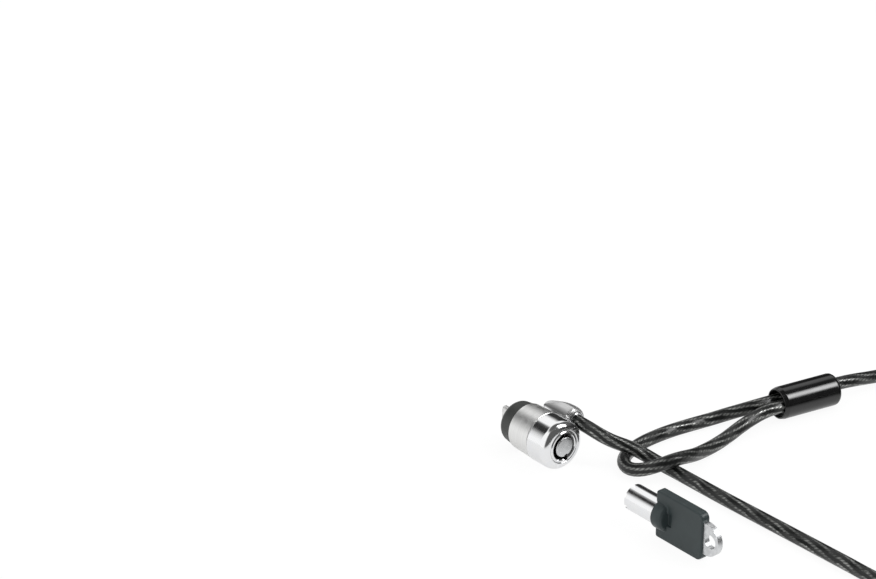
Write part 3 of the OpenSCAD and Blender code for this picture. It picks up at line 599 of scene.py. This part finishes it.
class Recipe:
    """A procedural material, built node by node."""

    def __init__(self, name, **settings):
        self.material = bpy.data.materials.new(name)
        self.material.use_nodes = True
        self.tree = self.material.node_tree
        self.shader = self.tree.nodes["Principled BSDF"]
        self.set(self.shader, settings)
        self.place = self.add("ShaderNodeTexCoord").outputs["Object"]

    def set(self, node, values):
        """Sets or links a node's inputs, given by number or by name, where _ can stand for a space."""
        for key, value in values.items():
            spaced = isinstance(key, str) and key not in node.inputs
            target = node.inputs[key.replace("_", " ") if spaced else key]
            if isinstance(value, bpy.types.NodeSocket):
                self.tree.links.new(value, target)
            else:
                target.default_value = value

    def add(self, kind, values=None, **attributes):
        node = self.tree.nodes.new(kind)
        for key, value in attributes.items():
            setattr(node, key, value)
        self.set(node, values or {})
        return node

    def scaled(self, vector, scale):
        return self.add("ShaderNodeMapping", {"Vector": vector, "Scale": scale}).outputs[0]

    def noise(self, scale, detail=3.0, roughness=0.5, vector=None, stretch=None):
        """Noise with features of about 1/scale mm. stretch scales each axis first."""
        place = self.scaled(vector or self.place, tuple(1000 * s for s in (stretch or (1, 1, 1))))
        values = {"Vector": place, "Scale": scale, "Detail": detail, "Roughness": roughness}
        return self.add("ShaderNodeTexNoise", values).outputs["Fac"]

    def math(self, operation, a, b=0.0, c=0.0):
        return self.add("ShaderNodeMath", {0: a, 1: b, 2: c}, operation=operation).outputs[0]

    def spread(self, value, low, high, start=0.3, end=0.7):
        """value from start to end, as low to high."""
        values = {"Value": value, "From Min": start, "From Max": end, "To Min": low, "To Max": high}
        return self.add("ShaderNodeMapRange", values).outputs[0]

    def wave(self, turns):
        """From 1 to 0 and back to 1 with each whole turn."""
        return self.spread(self.math("COSINE", self.math("MULTIPLY", turns, 2 * math.pi)), 0, 1, -1, 1)

    def mix(self, share, a, b):
        """The color a, or b where share is 1."""
        return self.add("ShaderNodeMix", {0: share, 6: a, 7: b}, data_type="RGBA").outputs[2]

    def bump(self, height, depth_mm, strength=1.0):
        values = {"Height": height, "Distance": depth_mm * MM, "Strength": strength}
        return self.add("ShaderNodeBump", values).outputs[0]

    def inside(self, start, end):
        """Two shares from 0 to 1, for painted shade and light in the keyway: from start to end in mm down
        the keyway, where shade is painted, and towards its +X wall, which is painted lighter as if lit.
        """
        x, y, _ = self.add("ShaderNodeSeparateXYZ", {0: self.place}).outputs
        depth = self.spread(y, 0, 1, (REAR_Y + start) * MM, (REAR_Y + end) * MM)
        return depth, self.spread(x, 0, 1, 1.5 * MM, 3.0 * MM)

    def finish(self, **links):
        self.set(self.shader, links)
        return self.material


def gray(value):
    return (value, value, value, 1)


def shade(color, share=1.0):
    """The color times share, with its alpha."""
    return tuple(share * c for c in color) + (1,)


def chrome_material(name, tone, roughness, satin_from=None, painted_keyway_shade=False):
    """Plated metal: faint smears, a few fine scratches, and a little tone.

    From satin_from mm off the Y axis it turns to satin, as on the cable's lug, with painted shade that
    darkens it near the barrel, in the crease between lug and barrel.
    For a hollow piece, painted shade makes it nearly black down in the keyway, apart from a dull +X wall
    that is painted pale as if lit.
    """
    m = Recipe(name, Metallic=1.0)
    smear = m.noise(0.35, 4)
    scratch = m.noise(1.4, 5, 0.7, stretch=(0.4, 5.0, 0.4))
    rough = m.spread(smear, *roughness)
    color = m.mix(m.spread(smear, 0, 1), (tone * 0.97, tone * 0.98, tone, 1), gray(tone))
    if satin_from is not None:
        off_axis = m.add("ShaderNodeVectorMath", {0: m.scaled(m.place, (1, 0, 1))}, operation="LENGTH")
        away = off_axis.outputs["Value"]
        satin = m.spread(away, 0, 1, satin_from * MM, (satin_from + 0.6) * MM)
        # painted shade: the lug's satin is darkened near the barrel, in the crease between lug and barrel,
        # and pale towards its tip
        painted_crease_shade = m.spread(away, 0, 1, (satin_from + 1) * MM, (satin_from + 3) * MM)
        color = m.mix(satin, color, m.mix(painted_crease_shade, gray(0.26), gray(0.84)))
        rough = m.math("ADD", rough, m.math("MULTIPLY", satin, 0.3))
    if painted_keyway_shade:
        # painted shade: nearly black down the keyway, with its +X wall painted pale as if lit
        depth, wall = m.inside(0.1, 0.4)
        color = m.mix(depth, color, m.mix(wall, gray(0.03), gray(0.85)))
        rough = m.math("ADD", rough, m.math("MULTIPLY", depth, 0.5))
    return m.finish(Base_Color=color, Roughness=rough, Normal=m.bump(scratch, 0.002, 0.5))


def turned_material(name, color, roughness, pitch, depth, painted_keyway_shade=False):
    """Metal turned about Y, with a brushed sheen and rings of a pitch and depth in mm.

    For a hollow piece, painted shade darkens it down in the keyway.
    """
    m = Recipe(name, Metallic=1.0, Anisotropic=0.55)
    rings = m.noise(1.0, 4, 0.65, stretch=(0.05, 1 / pitch, 0.05))
    smear = m.noise(0.5, 3)
    tone = m.mix(m.spread(rings, 0, 1, 0.25, 0.75), shade(color, 0.86), shade(color))
    if painted_keyway_shade:
        # painted shade: dark down the keyway
        tone = m.mix(m.inside(0.3, 1.5)[0], tone, gray(0.03))
    tangent = m.add("ShaderNodeTangent", direction_type="RADIAL", axis="Y").outputs[0]
    rough = m.spread(smear, *roughness)
    return m.finish(Base_Color=tone, Roughness=rough, Tangent=tangent, Normal=m.bump(rings, depth, 0.8))


def metal_material(name, color, roughness):
    """Bare metal with darker patches and a fine grain."""
    m = Recipe(name, Metallic=1.0)
    fine = m.noise(2.2, 5, 0.6)
    tone = m.mix(m.spread(m.noise(0.6, 4), 0, 1), shade(color, 0.8), shade(color))
    return m.finish(Base_Color=tone, Roughness=m.spread(fine, *roughness), Normal=m.bump(fine, 0.006, 0.6))


def plastic_material(name, color, roughness, grain, depth, level):
    """Moulded plastic or rubber with paler patches, a grain of its own depth in mm, and a gloss level."""
    m = Recipe(name, Specular_IOR_Level=level)
    fine = m.noise(grain, 3, 0.6)
    wide = m.noise(0.25, 4)
    pale = shade([min(1, 1.25 * c + 0.004) for c in color])
    tone = m.mix(m.spread(wide, 0, 0.8), shade(color), pale)
    return m.finish(Base_Color=tone, Roughness=m.spread(wide, *roughness), Normal=m.bump(fine, depth, 0.7))


# The cable's strands, the length of their lay in metres, and their wires round it and for each metre of it
STRANDS = 7
LAY = 0.095
WIRES_ROUND = 14
WIRES_ALONG = 480


def cable_material():
    """Steel strands in a long lay, with their wires across them, under a smoky clear jacket."""
    m = Recipe("coated_cable", Coat_Weight=0.6, Coat_Roughness=0.14, Coat_IOR=1.4, Specular_IOR_Level=0.25)
    uv = m.add("ShaderNodeUVMap", uv_map="UVMap").outputs[0]
    parts = m.add("ShaderNodeSeparateXYZ", {0: uv})
    along, turn = parts.outputs[0], parts.outputs[1]
    patch = m.noise(0.17, 2)
    fleck = m.noise(0.8, 3)
    stray = m.math("MULTIPLY", m.math("SUBTRACT", patch, 0.5), 0.7)
    lie = m.math("SUBTRACT", m.math("MULTIPLY", turn, STRANDS), m.math("MULTIPLY", along, STRANDS / LAY))
    crest = m.wave(m.math("ADD", lie, stray))
    across = m.math("ADD", m.math("MULTIPLY", turn, WIRES_ROUND), m.math("MULTIPLY", along, WIRES_ALONG))
    wire = m.wave(across)
    silver = m.math("MULTIPLY", m.spread(crest, 0, 1, 0.45, 1.0), m.spread(wire, 0.35, 1, 0.1, 0.8))
    silver = m.math("MULTIPLY", silver, m.spread(patch, 0.25, 1, 0.40, 0.62))
    silver = m.math("MULTIPLY", silver, m.spread(fleck, 0.45, 1, 0.4, 0.6))
    color = m.mix(silver, (0.0045, 0.0055, 0.005, 1), (0.52, 0.53, 0.51, 1))
    height = m.math("ADD", m.math("MULTIPLY", crest, 0.8), m.math("MULTIPLY", wire, 0.1))
    return m.finish(
        Base_Color=color,
        Metallic=m.spread(silver, 0, 0.7, 0, 0.8),
        Roughness=m.spread(silver, 0.5, 0.3, 0, 1),
        Normal=m.bump(height, 0.25),
        Coat_Normal=m.bump(crest, 0.06),
    )


WEAVE = 0.0009


def fabric_material():
    """Black webbing, with a crossing of threads every WEAVE metres."""
    m = Recipe("black_fabric", Roughness=0.85, Sheen_Weight=0.4, Sheen_Roughness=0.5)
    uv = m.add("ShaderNodeUVMap", uv_map="UVMap").outputs[0]
    parts = m.add("ShaderNodeSeparateXYZ", {0: uv})
    warp, weft = (
        m.math("SINE", m.math("MULTIPLY", parts.outputs[k], 2 * math.pi / WEAVE)) for k in (0, 1)
    )
    thread = m.spread(m.math("MULTIPLY", warp, weft), 0, 1, -1, 1)
    tone = m.mix(thread, (0.008, 0.008, 0.009, 1), (0.035, 0.035, 0.037, 1))
    return m.finish(Base_Color=tone, Normal=m.bump(thread, 0.12))


def dress(obj, material):
    obj.data.materials.clear()
    obj.data.materials.append(material)


def dress_all(pieces):
    """Gives every piece and every CAD node its finish. Colors are linear, and the pairs are roughness."""
    chrome = chrome_material("bright_chrome", 0.93, (0.06, 0.14))
    head_chrome = chrome_material("head_chrome", 0.93, (0.06, 0.14), satin_from=BARREL_R)
    bow_steel = metal_material("bow_steel", (0.76, 0.77, 0.78), (0.34, 0.46))
    satin = turned_material("satin_steel", (0.95, 0.95, 0.94), (0.30, 0.40), 0.35, 0.012)
    keyway_chrome = chrome_material("keyway_chrome", 0.88, (0.10, 0.18), painted_keyway_shade=True)
    post_steel = turned_material("post_steel", (0.72, 0.73, 0.74), (0.22, 0.32), 0.25, 0.010, painted_keyway_shade=True)
    pale_steel = metal_material("pale_steel", (0.88, 0.88, 0.87), (0.38, 0.48))
    steel = metal_material("plain_steel", (0.55, 0.56, 0.57), (0.22, 0.36))
    brass = metal_material("brass", (0.30, 0.22, 0.10), (0.28, 0.42))
    aluminium = metal_material("aluminium", (0.75, 0.76, 0.77), (0.30, 0.45))
    rubber = plastic_material("black_rubber", (0.026, 0.029, 0.026), (0.40, 0.55), 4.0, 0.02, 0.7)
    gloss = plastic_material("black_gloss_plastic", (0.005, 0.005, 0.005), (0.10, 0.16), 0.5, 0.01, 0.6)
    plastic = plastic_material("grey_plastic", (0.036, 0.050, 0.052), (0.32, 0.45), 5.0, 0.012, 0.4)
    dress(pieces["cable"], cable_material())
    dress(pieces["housing"], head_chrome)
    dress(pieces["grip"], plastic)
    dress(pieces["sleeve"], gloss)
    dress(pieces["strap"], fabric_material())
    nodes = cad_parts
    for names, material in (
        (("ear_bush", "key_tube"), chrome),
        (("lock_sleeve",), keyway_chrome),
        (("spindle",), post_steel),
        (("key_bow",), bow_steel),
        (("grip_collar",), satin),
        (("t_bar", "locating_pins"), pale_steel),
        (("front_plate", "block_pin", "pin_springs", "cable_ferrule"), steel),
        (["driver_block", "driver_pins", "rotor"] + [f"key_pin_{i}" for i in range(1, 8)], brass),
        (("crimp_ferrule",), aluminium),
        (("nose_bumper",), rubber),
    ):
        for name in names:
            dress(nodes[name], material)


# ---------------------------------------------------------------- studio

LAMP_AIM = (0.02, -0.06, 0)
LOCK_MIDDLE_Y = -0.03


def from_lock(azimuth, elevation, distance):
    """A place seen from the lock at an azimuth, where 0 is -Y and 90 is +X, and an elevation."""
    a, e = math.radians(azimuth), math.radians(elevation)
    flat = distance * math.cos(e)
    return (flat * math.sin(a), LOCK_MIDDLE_Y - flat * math.cos(a), distance * math.sin(e))


def lamp(name, azimuth, elevation, distance, wide, high, power):
    """A soft lamp of a size in metres and a power in watts, aimed at the middle of the object."""
    data = bpy.data.lights.new(name, "AREA")
    data.shape = "RECTANGLE"
    data.size, data.size_y, data.energy = wide, high, power
    obj = bpy.data.objects.new(name, data)
    bpy.context.collection.objects.link(obj)
    place = from_lock(azimuth, elevation, distance)
    obj.location = place
    x, y, z = np.array(LAMP_AIM) - np.array(place)
    obj.rotation_euler = (math.atan2(math.hypot(x, y), -z), 0, math.atan2(y, x) - math.pi / 2)


# What shiny surfaces see of the studio, apart from plain white: two azimuths from the lock, where 0 is -Y
# and 90 is +X, two elevations, the softness of the edges in degrees, and a brightness. From -400 to 400
# is all round. Later ones cover earlier ones.
REFLECTED = [
    (-58, 105, -14, 66, 10, 0.10),
    (30, 100, -20, 14, 10, 0.03),
    (27, 59, 34, 56, 6, 7.5),
    (-400, 400, 61, 120, 8, 0.10),
    (140, 224, 10, 34, 6, 0.34),
    (108, 142, -25, 33, 6, 0.03),
    (184, 223, 30, 52, 7, 0.03),
]


def make_world(strength):
    """White for the camera, an even light for matt surfaces, and grey screens in the reflections."""
    world = bpy.data.worlds.new("studio")
    bpy.context.scene.world = world
    world.use_nodes = True
    tree = world.node_tree

    def node(kind, *values, **attributes):
        made = tree.nodes.new(kind)
        for key, value in attributes.items():
            setattr(made, key, value)
        for k, value in enumerate(values):
            if isinstance(value, bpy.types.NodeSocket):
                tree.links.new(value, made.inputs[k])
            else:
                made.inputs[k].default_value = value
        return made.outputs[0]

    def math_node(operation, a, b=0.0):
        return node("ShaderNodeMath", a, b, operation=operation)

    def rise(value, start, end):
        return node("ShaderNodeMapRange", value, start, end, 0.0, 1.0, interpolation_type="SMOOTHSTEP")

    def band(value, low, high, soft):
        """1 where value lies between low and high, with soft ends."""
        up, down = rise(value, low - soft, low + soft), rise(value, high + soft, high - soft)
        return math_node("MULTIPLY", up, down)

    way = tree.nodes.new("ShaderNodeTexCoord").outputs["Generated"]
    axes = tree.nodes.new("ShaderNodeSeparateXYZ")
    tree.links.new(way, axes.inputs[0])
    x, y, z = axes.outputs
    elevation = math_node("MULTIPLY", math_node("ARCSINE", z), 180 / math.pi)
    front = math_node("MULTIPLY", math_node("ARCTAN2", x, math_node("MULTIPLY", y, -1.0)), 180 / math.pi)
    behind = math_node("ADD", front, math_node("MULTIPLY", math_node("LESS_THAN", front, 0.0), 360.0))
    level = 1.0
    for left, right, low, high, soft, tone in REFLECTED:
        azimuth = front if left < 0 else behind
        share = math_node("MULTIPLY", band(azimuth, left, right, soft), band(elevation, low, high, soft))
        level = node("ShaderNodeMapRange", share, 0.0, 1.0, level, tone)
    path = tree.nodes.new("ShaderNodeLightPath")
    glossy, camera = path.outputs["Is Glossy Ray"], path.outputs["Is Camera Ray"]
    clear = math_node("MAXIMUM", camera, path.outputs["Is Transmission Ray"])
    level = node("ShaderNodeMapRange", glossy, 0.0, 1.0, strength, level)
    level = node("ShaderNodeMapRange", clear, 0.0, 1.0, level, 1.0)
    back = tree.nodes["Background"]
    back.inputs["Color"].default_value = (1, 1, 1, 1)
    tree.links.new(level, back.inputs["Strength"])


def make_floor(share):
    """A pale floor that the camera sees as white, apart from part of its shadow.

    share is how much of it shows its own glow to the camera. Reflections see the floor only near the
    lock. From 0.06 to 0.15 m away it fades, and they see the screens around it.
    """
    half = 3000
    corners = [(-half, -half), (half, -half), (half, half), (-half, half)]
    floor = new_mesh("floor", [(x, y, FLOOR_Z - 0.02) for x, y in corners], [[0, 1, 2, 3]])
    m = Recipe("floor", Roughness=0.9, Specular_IOR_Level=0.0)
    m.shader.inputs["Base Color"].default_value = gray(0.9)
    glow = m.add("ShaderNodeEmission", {"Color": gray(1.0), "Strength": 1.08})
    clear = m.add("ShaderNodeBsdfTransparent", {"Color": gray(1.0)})
    path = m.add("ShaderNodeLightPath").outputs
    seen = m.math("MULTIPLY", m.math("MAXIMUM", path["Is Camera Ray"], path["Is Transmission Ray"]), share)
    seen = m.math("MAXIMUM", seen, m.math("MULTIPLY", path["Is Glossy Ray"], 0.5))
    away = m.add("ShaderNodeVectorMath", {0: m.place}, operation="LENGTH").outputs["Value"]
    open_to = m.math("MULTIPLY", m.spread(away, 0, 1, 0.06, 0.15), path["Is Glossy Ray"])
    result = m.shader.outputs[0]
    for part, other in ((seen, glow), (open_to, clear)):
        blend = m.add("ShaderNodeMixShader", {0: part, 1: result, 2: other.outputs[0]})
        result = blend.outputs[0]
    m.tree.links.new(result, m.tree.nodes["Material Output"].inputs["Surface"])
    dress(floor, m.material)


def make_studio():
    make_world(strength=0.62)
    make_floor(share=0.85)
    lamp("key_light", azimuth=45, elevation=45, distance=0.9, wide=0.16, high=0.9, power=1.6)


# ---------------------------------------------------------------- the scene

make_camera()
cable, path = make_cable()
sleeve = make_sleeve()
strap = make_strap()
dress_all({"cable": cable, "housing": make_housing(), "grip": make_grip(), "sleeve": sleeve, "strap": strap})
make_studio()

bpy.context.scene.view_settings.view_transform = "Standard"
